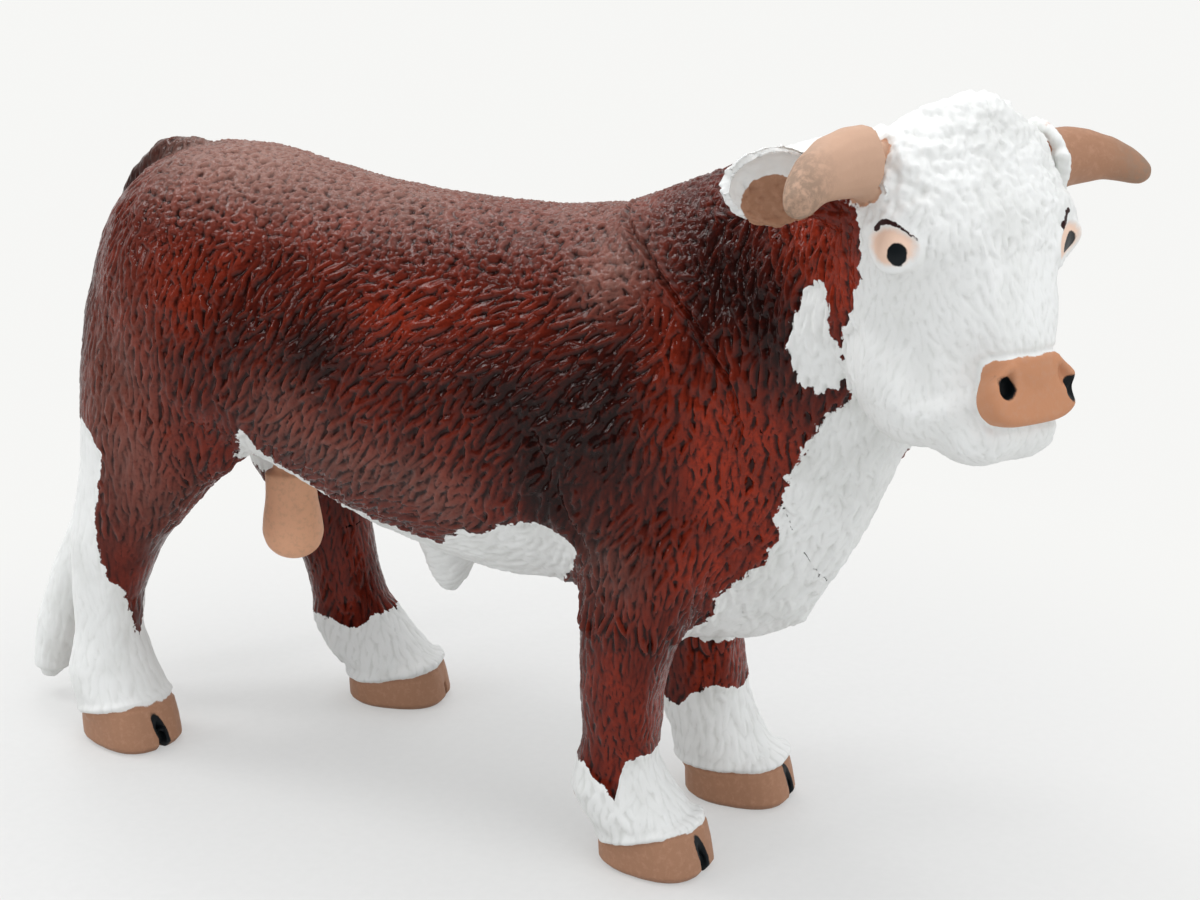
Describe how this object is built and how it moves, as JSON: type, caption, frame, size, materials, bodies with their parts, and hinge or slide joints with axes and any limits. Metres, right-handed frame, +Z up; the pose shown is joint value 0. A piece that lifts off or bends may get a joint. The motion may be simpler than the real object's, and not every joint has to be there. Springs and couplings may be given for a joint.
{
  "type": "toy farm animal figure",
  "caption": "Solid vinyl toy bull for farm play, standing on flat hooves with its head turned to its right; fitted horns, ears, tail and neck.",
  "frame": {"origin": "middle of the footprint of the whole figure, on the floor it stands on", "axes": "+X along the body towards the chest, +Y to the animal's left, +Z up"},
  "size_m": [0.1384, 0.0492, 0.0879],
  "materials": {
    "coat": "gloss",
    "face": "satin",
    "horn": "matte",
    "ear": "matte",
    "tail": "satin",
    "skin": "matte"
  },
  "bodies": {
    "root": {"body": "coat", "head_neck": "face", "horn_left": "horn", "horn_right": "horn", "ear_left": "ear", "ear_right": "ear", "tail": "tail", "scrotum": "skin"}
  },
  "joints": []
}
